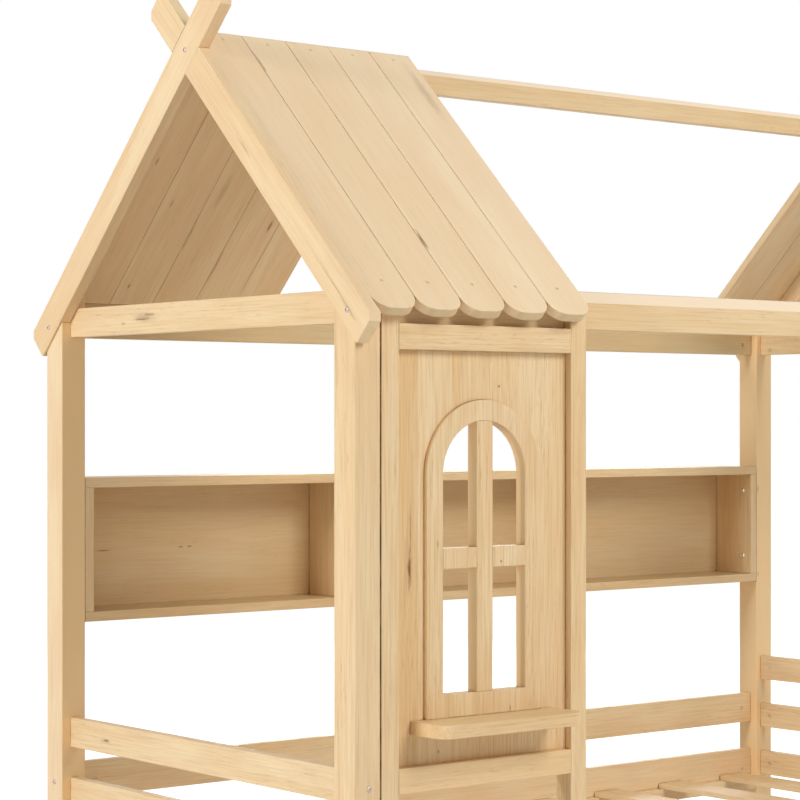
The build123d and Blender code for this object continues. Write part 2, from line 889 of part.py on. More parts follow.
def wood_screw(length):
    """A countersunk wood screw along +Z, with the face of its head at the origin."""
    with BuildPart() as screw:
        with BuildSketch(Plane.XZ):
            with BuildLine():
                Polyline(
                    (0, 0),
                    (screw_head_radius, 0),
                    (screw_radius, screw_head_high),
                    (screw_radius, length - screw_point),
                    (0, length),
                    (0, 0),
                )
            make_face()
        revolve(axis=Axis.Z)
        with BuildSketch(Plane.XY):
            Rectangle(screw_head_radius, screw_recess_wide)
            Rectangle(screw_recess_wide, screw_head_radius)
        extrude(amount=screw_recess_deep, mode=Mode.SUBTRACT)
    return screw


def barrel_nut():
    """A barrel nut along +Z from its slotted face, with a cross hole for its bolt along X."""
    with BuildPart() as nut:
        Cylinder(nut_radius, nut_long, align=(Align.CENTER, Align.CENTER, Align.MIN))
        with Locations(Plane(origin=(0, 0, side_rail_thick / 2), z_dir=(1, 0, 0))):
            Cylinder(bolt_radius + bolt_play, 2 * nut_radius, mode=Mode.SUBTRACT)
        with BuildSketch(Plane.XY):
            Rectangle(2 * nut_radius, nut_slot_wide)
        extrude(amount=nut_slot_deep, mode=Mode.SUBTRACT)
    return nut


def dowel():
    """A beech dowel along Z, its middle at the origin."""
    with BuildPart() as pin:
        Cylinder(dowel_radius, dowel_long)
    return pin


def group(node, *batches):
    """Write one node with a copy of a fastener at each of its places."""
    with BuildPart() as pieces:
        for fastener, places in batches:
            with Locations(*places):
                add(fastener.part)
    keep(pieces, node)


side_shank = post_along + nut_inset + bolt_past_nut
end_shank = post_across + nut_inset + bolt_past_nut
top_beam_shank = (
    rafter_inner_x - bolt_head_high - bolt_play - inner_x + nut_inset + bolt_past_nut
)

corners = [(end, side) for end in ends.values() for side in sides.values()]
side_bolt_places = []
side_nut_places = []
side_dowel_places = []
for rail_side, top, high, spread in side_rails.values():
    for end in ends.values():
        centre = top - high / 2
        side_bolt_places.append(side_bolt(end, rail_side, centre))
        side_nut_places.append(side_nut(end, rail_side, centre))
        side_dowel_places.append(side_dowel(end, rail_side, centre - spread))
        side_dowel_places.append(side_dowel(end, rail_side, centre + spread))

end_bolt_places = []
end_nut_places = []
end_dowel_places = []
for end, side in corners:
    for bolt_high, dowel_heights in end_joints:
        end_bolt_places.append(end_bolt(end, side, bolt_high))
        end_nut_places.append(end_nut(end, side, bolt_high))
        end_dowel_places += [end_dowel(end, side, height) for height in dowel_heights]

beam_bolt_places = [top_beam_bolt(end, side) for end, side in corners]
beam_nut_places = [
    side_nut(end, side, top_beam_bottom + top_beam_bolt_up) for end, side in corners
]
beam_dowel_places = [
    side_dowel(end, side, top_beam_bottom + top_beam_dowel_up) for end, side in corners
]

for end_name, end in ends.items():
    for side_name, side in sides.items():
        post(f"post_{side_name}_{end_name}", end, side)
        rafter(f"rafter_{side_name}_{end_name}", end, side)
    tie_limits = (top_beam_bottom, top_beam_bottom + tie_beam_high)
    end_member(f"tie_beam_{end_name}", end, tie_limits, tie_joint)
    for index, joint in enumerate(rail_joints):
        end_member(f"end_rail_{end_name}_{index + 1}", end, about(joint[0], end_rail_high), joint)
    shelf_end(f"shelf_end_{end_name}", end)

for side_name, side in sides.items():
    top_beam(f"top_beam_{side_name}", side)
    for index, x in enumerate(left_plank_xs):
        plank(f"roof_plank_{side_name}_left_{index + 1}", side, x)
    for index, x in enumerate(right_plank_xs):
        plank(f"roof_plank_{side_name}_right_{index + 1}", side, x)
ridge_beam()

for node, (rail_side, top, high, spread) in side_rails.items():
    side_rail(node, rail_side, top, high, spread)
ledgers()
slats()

shelf_long_board("shelf_top_board", shelf_top - shelf_board, True)
shelf_long_board("shelf_bottom_board", shelf_bottom, False)
shelf_dividers()
shelf_back()

stile("panel_stile_left", left_stile_x, 1)
stile("panel_stile_right", right_stile_x, -1)
top_rail_bottom = top_beam_bottom - panel_top_rail_high
mid_rail_bottom = panel_mid_rail_top - panel_mid_rail_high
panel_rail(
    "panel_top_rail",
    (top_rail_bottom, top_beam_bottom),
    (top_rail_bottom + groove_deep, top_beam_bottom),
    (top_rail_bottom, top_rail_bottom + groove_deep),
)
panel_rail(
    "panel_mid_rail",
    (mid_rail_bottom, panel_mid_rail_top),
    (mid_rail_bottom, panel_mid_rail_top - groove_deep),
    (panel_mid_rail_top - groove_deep, panel_mid_rail_top),
)
panel_board()
window_casing()
window_bars()
window_sill()

group(
    "frame_bolts",
    (button_bolt(side_shank), side_bolt_places),
    (button_bolt(end_shank), end_bolt_places),
    (button_bolt(top_beam_shank), beam_bolt_places),
)
group("barrel_nuts", (barrel_nut(), side_nut_places + end_nut_places + beam_nut_places))
group("frame_dowels", (dowel(), side_dowel_places + end_dowel_places + beam_dowel_places))
rafter_bolt_places = [crossing_bolt(end) for end in ends.values()]
rafter_bolt_places += [foot_bolt(end, side) for end, side in corners]
group("rafter_bolts", (button_bolt(rafter_bolt_long), rafter_bolt_places))
shelf_bolt_places = [shelf_bolt(end, high) for end in ends.values() for high in shelf_bolt_heights]
shelf_bolt_piece = button_bolt(shelf_bolt_long, shelf_bolt_head_radius, shelf_bolt_socket_wide)
group("shelf_bolts", (shelf_bolt_piece, shelf_bolt_places))

short_screw_places = sill_screws()
for x in (left_stile_x, right_stile_x):
    short_screw_places += rail_lap_screws(x) + [beam_lap_screw(x)]
for side in sides.values():
    for x in left_plank_xs + right_plank_xs:
        short_screw_places.append(beam_screw(side, x))
        short_screw_places.append(ridge_screw(side, x))
    short_screw_places += [ledger_screw(side, x) for x in ledger_screw_xs]
    short_screw_places += [slat_screw(side, x) for x in slat_xs]
shelf_screw_places = back_screws(True) + back_screws(False)
for x in upright_xs:
    shelf_screw_places += upright_screws(x, True) + upright_screws(x, False)
group("short_screws", (wood_screw(short_screw_long), short_screw_places))
group("shelf_screws", (wood_screw(long_screw_long), shelf_screw_places))
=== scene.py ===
import math
import random

import bpy
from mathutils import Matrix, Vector

# The looks of a house-shaped bed in clear-finished pale pine. Metres throughout.

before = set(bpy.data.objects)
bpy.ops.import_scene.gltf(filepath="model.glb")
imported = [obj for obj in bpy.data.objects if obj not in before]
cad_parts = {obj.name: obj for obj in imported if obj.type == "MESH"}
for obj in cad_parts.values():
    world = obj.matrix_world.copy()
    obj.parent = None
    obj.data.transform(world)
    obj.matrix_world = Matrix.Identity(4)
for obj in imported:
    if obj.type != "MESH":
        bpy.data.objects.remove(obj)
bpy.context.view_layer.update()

# Directions on the bed
ALONG_BED = Vector((1, 0, 0))
ACROSS_BED = Vector((0, 1, 0))
UPRIGHT = Vector((0, 0, 1))
ROOF_SLOPE = math.radians(43.9)

# Wood colours, as they show in plain light. Some also serve as painted light and shade
PALE_WOOD = (0.942, 0.846, 0.685)
WARM_WOOD = (0.895, 0.755, 0.560)
ROSE_WOOD = (0.915, 0.780, 0.620)
LINE_WOOD = (0.720, 0.560, 0.360)
MARK_WOOD = (0.500, 0.320, 0.165)
# ROOF_WOOD also gives painted light on the up-facing bevels of the beams and on the rear left post
ROOF_WOOD = (0.975, 0.890, 0.775)
# BRIGHT_WOOD is mostly painted light, on faces and posts that the lamps leave darker
BRIGHT_WOOD = (1.000, 0.862, 0.662)
# DUSK_WOOD also gives painted shade on the tops of the shelf's bottom board and of the sill
DUSK_WOOD = (0.740, 0.655, 0.480)
# Colour of the painted shade in narrow joints and corners
JOINT_SHADE_WOOD = (0.420, 0.275, 0.140)

# Colours of plated steel
DULL_ZINC = (0.86, 0.78, 0.75)
BRIGHT_ZINC = (1.00, 0.96, 0.90)
YELLOW_ZINC = (0.96, 0.87, 0.71)
BROWN_ZINC = (0.93, 0.83, 0.68)

# How often each pattern repeats in a metre: along the grain, over the width and through the board
BEND_SCALE = (1.3, 9.0, 9.0)
FIBRE_SCALE = (7.0, 280.0, 280.0)
PORE_SCALE = (34.0, 430.0, 430.0)
CLUSTER_SCALE = (3.5, 26.0, 26.0)
CLOUD_SCALE = (2.2, 13.0, 13.0)
ROSY_SCALE = (4.03, 11.7, 11.7)
STREAK_SCALE = (3.0, 60.0, 60.0)
KNOT_SCALE = (3.0, 11.0, 11.0)
RAG_SCALE = (60.0, 420.0, 420.0)
SHADE_SCALE = (26.0, 26.0, 26.0)
STAVES_PER_METRE = 19.0

# Growth rings: how many in a metre, how many a slow bend shifts them by, and the pith's own shift
RINGS_PER_METRE = 140.0
RINGS_BENT = 20.0
PITH_SHIFT = (0.0, 0.04, 0.055)

# Where each pattern starts to show and where it is full, on its own scale
LATE_SPAN = (0.35, 0.95)
RING_END_SPAN = (1.0, 0.95)
FIBRE_SPAN = (0.42, 0.74)
PORE_SPAN = (0.58, 0.74)
CLUSTER_SPAN = (0.42, 0.66)
CLOUD_SPAN = (0.30, 0.72)
ROSY_SPAN = (0.42, 0.68)
STREAK_SPAN = (0.42, 0.70)
KNOT_SPAN = (0.075, 0.025)
HALO_SPAN = (0.28, 0.05)
MARK_SPAN = (1.35, 0.45)

# Share of the cells without a knot
KNOTLESS_SHARE = 0.86

# How much each pattern warms the wood
CLOUD_WARMTH = 0.50
STREAK_WARMTH = 0.28
STAVE_WARMTH = 0.16
HALO_WARMTH = 0.25

# How much each pattern tints or darkens it
ROSY_SHARE = 0.65
LATE_SHARE = 0.05
PORE_SHARE = 0.34
FIBRE_SHARE = 0.26
KNOT_SHARE = 0.50

# Relief and gloss of a board's face
FIBRE_RISE = 0.6
LATE_RISE = 0.15
PORE_DROP = 0.6
GRAIN_RELIEF = 0.00035
GRAIN_BUMP = 0.35
WOOD_ROUGH = 0.46
WOOD_ROUGH_CHANGE = 0.12
WOOD_SPECULAR = 0.32

# Eased edges: radius of the rounding, which turns of the face show the painted highlight, and how
# much paler it is
EDGE_RADIUS = 0.0025
EDGE_HIGHLIGHT_SPAN = (0.995, 0.80)
EDGE_HIGHLIGHT_SHARE = 0.08

# Painted shade in narrow joints and corners: how far it reaches, where it shows, how dark it is, and
# its least part
JOINT_SHADE_REACH = 0.006
JOINT_SHADE_SPAN = (0.64, 0.38)
JOINT_SHADE_SHARE = 0.85
SHADE_SPAN = (0.36, 0.64)
LEAST_SHADE = 0.30

# Faces that count as end grain, and faces that count as looking one way
END_SPAN = (0.80, 0.95)
FACE_SPAN = (0.5, 0.7)

# Random draws: their seed, how far a board's pattern shifts, its tone, and the shift within a row
DRAW_SEED = 11
WOOD_SHIFT = 7
WOOD_TONES = (-0.10, 0.14)
ROW_SHIFT = (9.0, 9.0, 9.0)

# How ragged the outline of a mark is
RAG = 0.9

# Plated steel: patches and turning marks in a metre, how bright the patches are, and the relief
STEEL_PATCH_SCALE = (900.0, 900.0, 900.0)
SCRATCH_SCALE = (4000.0, 900.0, 4000.0)
STEEL_PATCH_SPAN = (0.3, 0.7)
STEEL_PATCH_LEVEL = 0.82
STEEL_SHIFT = 3
STEEL_ROUGH = 0.20
STEEL_ROUGH_CHANGE = 0.20
SCRATCH_BUMP = 0.2
SCRATCH_RELIEF = 0.0001

# Rays that look for an edge or a joint at each point
NEAR_RAYS = 6

# Sockets of the node that mixes colours: factor, both colours and the result
MIX_FACTOR = 0
MIX_FIRST = 6
MIX_SECOND = 7
MIX_RESULT = 2


def down_slope(side):
    """Direction down one slope of the roof: side is -1 at the front and 1 at the rear."""
    return Vector((0, side * math.cos(ROOF_SLOPE), -math.sin(ROOF_SLOPE)))


def linear(color):
    """A colour as it shows on screen, in the linear values that shaders take (sRGB formula)."""
    return tuple(
        (c / 12.92 if c <= 0.04045 else ((c + 0.055) / 1.055) ** 2.4) for c in color
    ) + (1.0,)


class Nodes:
    """Adds shader nodes to one tree and links their sockets."""

    def __init__(self, tree):
        self.tree = tree

    def add(self, kind, inputs=(), **settings):
        """Add a node. Inputs are pairs of a socket and a value or another node's output."""
        made = self.tree.nodes.new(kind)
        for name, value in settings.items():
            setattr(made, name, value)
        for socket, value in inputs:
            if isinstance(value, bpy.types.NodeSocket):
                self.tree.links.new(value, made.inputs[socket])
            else:
                made.inputs[socket].default_value = value
        return made

    def math(self, operation, *values, clamp=False):
        """The result of a sum or a function on one or two numbers."""
        made = self.add("ShaderNodeMath", list(enumerate(values)), operation=operation)
        made.use_clamp = clamp
        return made.outputs[0]

    def vector(self, operation, *values):
        """The result of a function on vectors."""
        made = self.add("ShaderNodeVectorMath", list(enumerate(values)), operation=operation)
        return made.outputs["Value" if operation in ("DOT_PRODUCT", "LENGTH") else "Vector"]

    def over_width(self, place):
        """How far over the board's width a place in the grain is."""
        return self.add("ShaderNodeSeparateXYZ", [(0, place)]).outputs["Y"]

    def ramp(self, value, span):
        """A number that goes smoothly from 0 to 1 as the value crosses the span."""
        return self.add("ShaderNodeMapRange", [
            ("Value", value), ("From Min", span[0]), ("From Max", span[1])],
            interpolation_type="SMOOTHSTEP").outputs["Result"]

    def noise(self, place, scale, detail=2.0, roughness=0.5):
        """A noise pattern from 0 to 1, at so many repeats in a metre each way."""
        return self.add("ShaderNodeTexNoise", [
            ("Vector", self.vector("MULTIPLY", place, scale)), ("Scale", 1.0),
            ("Detail", detail), ("Roughness", roughness)]).outputs["Fac"]

    def blend(self, factor, first, second):
        """A colour between two colours."""
        return self.add("ShaderNodeMix", [
            (MIX_FACTOR, factor), (MIX_FIRST, first), (MIX_SECOND, second)],
            data_type="RGBA").outputs[MIX_RESULT]

    def seen_plainly(self):
        """1 for rays from the camera, straight or by way of a mirror or glass, and otherwise 0."""
        path = self.add("ShaderNodeLightPath").outputs
        seen = self.math("MAXIMUM", path["Is Camera Ray"], path["Is Glossy Ray"])
        return self.math("MAXIMUM", seen, path["Is Transmission Ray"])


def new_material(name):
    """An empty node material, with what adds its nodes."""
    made = bpy.data.materials.new(name)
    made.use_nodes = True
    made.node_tree.nodes.clear()
    return made, Nodes(made.node_tree)


# The pattern of planed pine, shared by all boards

def group_socket(tree, name, direction, kind, value=None):
    """Add one socket to the outside of a node group."""
    made = tree.interface.new_socket(name=name, in_out=direction, socket_type=kind)
    if value is not None:
        made.default_value = value


def grain_group():
    """A node group with the pattern of planed pine, its grain along the local X."""
    tree = bpy.data.node_groups.new("planed_wood", "ShaderNodeTree")
    group_socket(tree, "Place", "INPUT", "NodeSocketVector")
    group_socket(tree, "Seed", "INPUT", "NodeSocketVector")
    group_socket(tree, "Tone", "INPUT", "NodeSocketFloat", 0.0)
    group_socket(tree, "Lines", "INPUT", "NodeSocketFloat", 1.0)
    group_socket(tree, "Share", "INPUT", "NodeSocketFloat", 0.0)
    group_socket(tree, "Other", "INPUT", "NodeSocketColor")
    group_socket(tree, "Mark", "INPUT", "NodeSocketFloat", 0.0)
    group_socket(tree, "Color", "OUTPUT", "NodeSocketColor")
    group_socket(tree, "Height", "OUTPUT", "NodeSocketFloat")
    group_socket(tree, "Rough", "OUTPUT", "NodeSocketFloat")
    n = Nodes(tree)
    source = n.add("NodeGroupInput").outputs
    place = n.vector("ADD", source["Place"], source["Seed"])

    # Growth rings, nearly straight because the draw puts the pith some metres off, and slowly bent
    bend = n.math("MULTIPLY", n.noise(place, BEND_SCALE), RINGS_BENT)
    across = n.vector("MULTIPLY", place, (0.0, 1.0, 1.0))
    radius = n.vector("LENGTH", n.vector("ADD", across, PITH_SHIFT))
    ring = n.math("FRACT", n.math("ADD", n.math("MULTIPLY", radius, RINGS_PER_METRE), bend))
    late = n.math("MULTIPLY", n.ramp(ring, LATE_SPAN), n.ramp(ring, RING_END_SPAN))

    # Fine fibres, and short dark pores that lie in clusters
    fibre = n.noise(place, FIBRE_SCALE, detail=3.0, roughness=0.6)
    pores = n.ramp(n.noise(place, PORE_SCALE, detail=1.5), PORE_SPAN)
    pore = n.math("MULTIPLY", pores, n.ramp(n.noise(place, CLUSTER_SCALE), CLUSTER_SPAN))

    # Slow changes of colour, and glued staves of slightly different tone
    cloud = n.ramp(n.noise(place, CLOUD_SCALE, detail=3.0), CLOUD_SPAN)
    rosy = n.ramp(n.noise(place, ROSY_SCALE), ROSY_SPAN)
    streak = n.ramp(n.noise(place, STREAK_SCALE, detail=2.5), STREAK_SPAN)
    number = n.math("FLOOR", n.math("MULTIPLY", n.over_width(place), STAVES_PER_METRE))
    stave = n.add("ShaderNodeTexWhiteNoise", [("W", number)], noise_dimensions="1D")
    stave = n.math("SUBTRACT", stave.outputs["Value"], 0.5)

    # Small knots, each with a warmer halo, few and far between
    cells = n.add("ShaderNodeTexVoronoi", [
        ("Vector", n.vector("MULTIPLY", place, KNOT_SCALE)), ("Scale", 1.0)]).outputs
    draw = n.add("ShaderNodeSeparateColor", [(0, cells["Color"])]).outputs[0]
    chosen = n.math("GREATER_THAN", draw, KNOTLESS_SHARE)
    knot = n.math("MULTIPLY", n.ramp(cells["Distance"], KNOT_SPAN), chosen)
    halo = n.math("MULTIPLY", n.ramp(cells["Distance"], HALO_SPAN), chosen)

    # Colour, from the palest wood to the darkest marks
    warmth = n.math("ADD", n.math("MULTIPLY", cloud, CLOUD_WARMTH), source["Tone"])
    streaks = n.math("MULTIPLY", n.math("MULTIPLY", streak, STREAK_WARMTH), source["Lines"])
    warmth = n.math("ADD", warmth, streaks)
    warmth = n.math("ADD", warmth, n.math("MULTIPLY", stave, STAVE_WARMTH))
    warmth = n.math("ADD", warmth, n.math("MULTIPLY", halo, HALO_WARMTH), clamp=True)
    lines = n.math("ADD", n.math("MULTIPLY", late, LATE_SHARE), n.math("MULTIPLY", pore, PORE_SHARE))
    lines = n.math("ADD", lines, n.math("MULTIPLY", n.ramp(fibre, FIBRE_SPAN), FIBRE_SHARE))
    lines = n.math("MULTIPLY", lines, source["Lines"], clamp=True)
    dark = n.math("ADD", n.math("MULTIPLY", knot, KNOT_SHARE), source["Mark"], clamp=True)
    color = n.blend(n.math("MULTIPLY", rosy, ROSY_SHARE), linear(PALE_WOOD), linear(ROSE_WOOD))
    color = n.blend(warmth, color, linear(WARM_WOOD))
    color = n.blend(lines, color, linear(LINE_WOOD))
    color = n.blend(source["Share"], color, source["Other"])
    color = n.blend(dark, color, linear(MARK_WOOD))

    # Relief and roughness
    height = n.math("ADD", n.math("MULTIPLY", fibre, FIBRE_RISE), n.math("MULTIPLY", late, LATE_RISE))
    height = n.math("SUBTRACT", height, n.math("MULTIPLY", pore, PORE_DROP))
    change = n.math("MULTIPLY", n.math("SUBTRACT", fibre, late), WOOD_ROUGH_CHANGE)
    rough = n.math("ADD", WOOD_ROUGH, change)
    n.add("NodeGroupOutput", [("Color", color), ("Height", height), ("Rough", rough)])
    return tree


GRAIN = grain_group()


# Materials

def grain_place(n, axes):
    """Object coordinates turned so that X runs with the grain and Y over the width."""
    where = n.add("ShaderNodeTexCoord").outputs["Object"]
    parts = [n.vector("DOT_PRODUCT", where, tuple(axis)) for axis in axes]
    return n.add("ShaderNodeCombineXYZ", list(enumerate(parts))).outputs[0]


def mark_mask(n, place, axes, marks):
    """How dark the chosen marks of one board are: streaks, cracks and knots at known places, and one
    painted shadow.
    """
    total = 0.0
    for centre, length, width, strength in marks:
        local = tuple(axis.dot(Vector(centre)) for axis in axes)
        away = n.vector("SUBTRACT", place, local)
        away = n.vector("MULTIPLY", away, (2 / length, 2 / width, 2 / width))
        ragged = n.math("MULTIPLY", n.noise(place, RAG_SCALE), RAG)
        reach = n.math("ADD", n.vector("LENGTH", away), ragged)
        mask = n.math("MULTIPLY", n.ramp(reach, MARK_SPAN), strength)
        total = n.math("ADD", total, mask, clamp=True)
    return total


def stave_tones(n, place, staves):
    """Extra warmth of the glued staves of one board: pairs of a stave's far edge and its tone."""
    over = n.over_width(place)
    total = staves[0][1]
    for (edge, tone), (_, next_tone) in zip(staves, staves[1:]):
        step = n.math("MULTIPLY", n.math("GREATER_THAN", over, edge), next_tone - tone)
        total = n.math("ADD", total, step)
    return total


def wood(name, axes, rng, look, marks, staves, piece_pitch, painted_face_light, end_dusk):
    """A pine material for one board, or for a row of boards at an even pitch over the width."""
    tone_shift, line_strength, share, other_wood = look
    made, n = new_material(name)
    place = grain_place(n, axes)
    seed = tuple(rng.uniform(-WOOD_SHIFT, WOOD_SHIFT) for _ in range(3))
    tone = tone_shift + rng.uniform(*WOOD_TONES)
    if piece_pitch:
        number = n.math("FLOOR", n.math("DIVIDE", n.over_width(place), piece_pitch))
        own = n.add("ShaderNodeTexWhiteNoise", [("W", number)], noise_dimensions="1D")
        seed = n.vector("ADD", n.vector("MULTIPLY", own.outputs["Color"], ROW_SHIFT), seed)
    if staves:
        tone = n.math("ADD", stave_tones(n, place, staves), tone)
    pattern = n.add("ShaderNodeGroup", [
        ("Place", place), ("Seed", seed), ("Tone", tone), ("Lines", line_strength),
        ("Share", share), ("Other", linear(other_wood)), ("Mark", mark_mask(n, place, axes, marks))],
        node_tree=GRAIN).outputs

    # Eased edges are painted a little paler than the faces, a painted highlight where they catch
    # light
    soft = n.add("ShaderNodeBevel", [("Radius", EDGE_RADIUS)], samples=NEAR_RAYS).outputs["Normal"]
    true = n.add("ShaderNodeNewGeometry").outputs["Normal"]
    edge = n.ramp(n.vector("DOT_PRODUCT", soft, true), EDGE_HIGHLIGHT_SPAN)
    color = n.blend(n.math("MULTIPLY", edge, EDGE_HIGHLIGHT_SHARE), pattern["Color"], linear(PALE_WOOD))

    # End grain is duskier, and the faces that look one way get painted light or shade, paler or
    # darker than the rest of the board
    end = n.math("ABSOLUTE", n.vector("DOT_PRODUCT", true, tuple(axes[0])))
    dusk = n.math("MULTIPLY", n.ramp(end, END_SPAN), end_dusk)
    color = n.blend(dusk, color, linear(DUSK_WOOD))
    if painted_face_light:
        direction, face_light_share, face_light_wood = painted_face_light
        facing = n.ramp(n.vector("DOT_PRODUCT", true, tuple(direction)), FACE_SPAN)
        color = n.blend(n.math("MULTIPLY", facing, face_light_share), color, linear(face_light_wood))

    # Painted shade darkens narrow joints and corners, more in some places than in others
    clear = n.add("ShaderNodeAmbientOcclusion", [("Distance", JOINT_SHADE_REACH)], samples=NEAR_RAYS)
    shade = n.math("MULTIPLY", n.ramp(clear.outputs["AO"], JOINT_SHADE_SPAN), JOINT_SHADE_SHARE)
    uneven = n.ramp(n.noise(place, SHADE_SCALE, detail=2.5), SHADE_SPAN)
    uneven = n.math("ADD", LEAST_SHADE, n.math("MULTIPLY", uneven, 1 - LEAST_SHADE))
    color = n.blend(n.math("MULTIPLY", shade, uneven), color, linear(JOINT_SHADE_WOOD))

    bump = n.add("ShaderNodeBump", [
        ("Height", pattern["Height"]), ("Normal", soft),
        ("Strength", GRAIN_BUMP), ("Distance", GRAIN_RELIEF)])
    shader = n.add("ShaderNodeBsdfPrincipled", [
        ("Base Color", color), ("Roughness", pattern["Rough"]),
        ("Normal", bump.outputs["Normal"]), ("Specular IOR Level", WOOD_SPECULAR)])
    n.add("ShaderNodeOutputMaterial", [("Surface", shader.outputs[0])])
    return made


def steel(name, look, rng):
    """Plated steel with fine turning marks and dull patches."""
    color, metallic = look
    made, n = new_material(name)
    where = n.add("ShaderNodeTexCoord").outputs["Object"]
    shift = tuple(rng.uniform(-STEEL_SHIFT, STEEL_SHIFT) for _ in range(3))
    place = n.vector("ADD", where, shift)
    patches = n.ramp(n.noise(place, STEEL_PATCH_SCALE, detail=3.0), STEEL_PATCH_SPAN)
    scratches = n.noise(place, SCRATCH_SCALE)
    dull = linear([c * STEEL_PATCH_LEVEL for c in color])
    mottled = n.blend(patches, linear(color), dull)
    rough = n.math("ADD", STEEL_ROUGH, n.math("MULTIPLY", scratches, STEEL_ROUGH_CHANGE))
    bump = n.add("ShaderNodeBump", [
        ("Height", scratches), ("Strength", SCRATCH_BUMP), ("Distance", SCRATCH_RELIEF)])
    shader = n.add("ShaderNodeBsdfPrincipled", [
        ("Base Color", mottled), ("Metallic", metallic), ("Roughness", rough),
        ("Normal", bump.outputs["Normal"])])
    n.add("ShaderNodeOutputMaterial", [("Surface", shader.outputs[0])])
    return made


# The tables go by the start of a piece's name, and the first start that fits counts

# Which way each board's grain runs, and which way its width runs
GRAIN_BY_START = {
    "post_": (UPRIGHT, ALONG_BED),
    "panel_stile": (UPRIGHT, ALONG_BED),
    "panel_board": (UPRIGHT, ALONG_BED),
    "window_casing": (UPRIGHT, ALONG_BED),
    "window_upright_bar": (UPRIGHT, ALONG_BED),
    "window_cross_bar": (UPRIGHT, ALONG_BED),
    "shelf_end": (UPRIGHT, ACROSS_BED),
    "shelf_dividers": (UPRIGHT, ACROSS_BED),
    "frame_dowels": (ALONG_BED, UPRIGHT),
    "rear_": (ALONG_BED, UPRIGHT),
    "front_": (ALONG_BED, UPRIGHT),
    "top_beam": (ALONG_BED, UPRIGHT),
    "ridge_beam": (ALONG_BED, UPRIGHT),
    "slat_ledgers": (ALONG_BED, UPRIGHT),
    "shelf_top_board": (ALONG_BED, ACROSS_BED),
    "shelf_bottom_board": (ALONG_BED, ACROSS_BED),
    "shelf_back": (ALONG_BED, UPRIGHT),
    "panel_top_rail": (ALONG_BED, UPRIGHT),
    "panel_mid_rail": (ALONG_BED, UPRIGHT),
    "window_sill": (ALONG_BED, ACROSS_BED),
    "end_rail": (ACROSS_BED, UPRIGHT),
    "tie_beam": (ACROSS_BED, UPRIGHT),
    "deck_slats": (ACROSS_BED, ALONG_BED),
    "roof_plank_front": (down_slope(-1), ALONG_BED),
    "roof_plank_rear": (down_slope(1), ALONG_BED),
    "rafter_front": (down_slope(-1), ALONG_BED.cross(down_slope(-1))),
    "rafter_rear": (down_slope(1), ALONG_BED.cross(down_slope(1))),
}

# Colour and metallic share of each kind of fastener
STEEL_BY_START = {
    "frame_bolts": (DULL_ZINC, 0.4),
    "rafter_bolts": (DULL_ZINC, 0.4),
    "barrel_nuts": (BROWN_ZINC, 0.2),
    "shelf_bolts": (BRIGHT_ZINC, 0.9),
    "short_screws": (YELLOW_ZINC, 0.6),
    "shelf_screws": (YELLOW_ZINC, 0.6),
}

# How the boards differ: extra warmth, strength of the grain lines, share of another wood, that wood
LOOK_BY_START = {
    "roof_plank_front_left_1": (0.10, 0.7, 0.30, ROOF_WOOD),
    "roof_plank_front_left_2": (-0.10, 0.6, 0.30, ROOF_WOOD),
    "roof_plank_front_left_3": (0.12, 0.7, 0.34, ROOF_WOOD),
    "roof_plank_front_left_4": (-0.06, 0.6, 0.36, ROOF_WOOD),
    "roof_plank_front_left_5": (-0.05, 0.6, 0.40, ROOF_WOOD),
    "roof_plank": (0.0, 0.9, 0.12, ROOF_WOOD),
    "rafter_": (0.0, 0.8, 0.06, ROOF_WOOD),
    "panel_board": (0.05, 1.35, 0.0, ROOF_WOOD),
    "panel_mid_rail": (0.35, 1.2, 0.25, BRIGHT_WOOD),
    "panel_": (0.0, 1.2, 0.0, ROOF_WOOD),
    "window_sill": (0.16, 1.1, 0.0, DUSK_WOOD),
    "window_": (0.0, 1.4, 0.0, ROOF_WOOD),
    "end_rail": (-0.02, 1.3, 0.06, ROOF_WOOD),
    "tie_beam": (0.04, 1.1, 0.04, DUSK_WOOD),
    "shelf_back": (0.12, 0.8, 0.24, DUSK_WOOD),
    "shelf_dividers": (0.20, 1.0, 0.10, DUSK_WOOD),
    "shelf_bottom_board": (0.10, 1.0, 0.04, DUSK_WOOD),
    "shelf_": (0.10, 1.0, 0.0, DUSK_WOOD),
    # Painted light: the rear posts are made brighter or paler where the lamps leave them darker
    "post_rear_right": (0.0, 1.0, 0.85, BRIGHT_WOOD),
    "post_rear_left": (-0.14, 1.0, 0.22, ROOF_WOOD),
    "post_": (0.06, 1.2, 0.06, ROOF_WOOD),
    "ridge_beam": (0.05, 1.0, 0.16, DUSK_WOOD),
    "top_beam_rear": (0.05, 1.0, 0.50, DUSK_WOOD),
    "top_beam": (0.0, 1.0, 0.08, DUSK_WOOD),
    "rear_side_rail": (-0.15, 1.0, 0.12, ROOF_WOOD),
    "deck_slats": (-0.06, 1.0, 0.16, DUSK_WOOD),
}
PLAIN_LOOK = (0.0, 1.0, 0.0, ROOF_WOOD)

